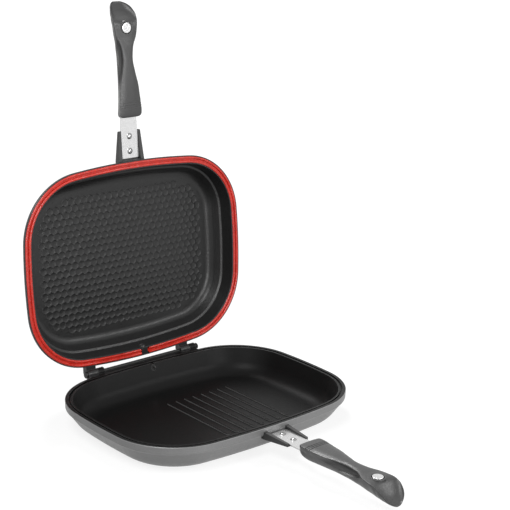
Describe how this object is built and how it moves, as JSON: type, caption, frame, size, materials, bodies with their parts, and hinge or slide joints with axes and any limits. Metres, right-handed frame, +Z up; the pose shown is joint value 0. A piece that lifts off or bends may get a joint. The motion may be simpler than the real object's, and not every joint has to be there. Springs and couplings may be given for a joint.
{
  "type": "double sided flip pan",
  "caption": "Two shallow rounded rectangular cast pans hinged along one long edge, with a silicone seal, steel strap handles, moulded grips and a magnetic catch.",
  "frame": {"origin": "middle of the lower pan's flat base, on the surface that it rests on", "axes": "+X along the hinge rod, +Y from the handles to the hinge, +Z up; the lid is open at rest"},
  "size_m": [0.36, 0.5584, 0.5345],
  "materials": {
    "grey_enamel": "satin grey enamel outside, black non-stick coating inside",
    "silicone": "satin red silicone",
    "black_steel": "blackened steel",
    "stainless": "brushed stainless steel",
    "bakelite": "matt dark grey phenolic",
    "polished_steel": "polished stainless steel",
    "magnet": "sintered magnet"
  },
  "bodies": {
    "lower": {"lower_pan": "grey_enamel", "lower_vent_ferrule": "polished_steel", "hinge_rod": "black_steel", "hinge_nut": "black_steel", "hinge_spacers": "black_steel", "lower_handle_strap": "stainless", "lower_handle_rivets": "stainless", "lower_grip": "bakelite", "lower_grip_screw": "stainless", "lower_magnet_cap": "polished_steel", "lower_magnet": "magnet"},
    "lid": {"lid_pan": "grey_enamel", "lid_gasket": "silicone", "lid_vent_ferrule": "polished_steel", "lid_handle_strap": "stainless", "lid_handle_rivets": "stainless", "lid_grip": "bakelite", "lid_grip_screw": "stainless", "lid_magnet_cap": "polished_steel", "lid_magnet": "magnet"}
  },
  "joints": [
    {"name": "lid_hinge", "type": "hinge", "parent": "lower", "child": "lid", "pos_m": [0, 0.1452, 0.0406], "axis": [1, 0, 0], "range_deg": [0, 93.8]}
  ]
}
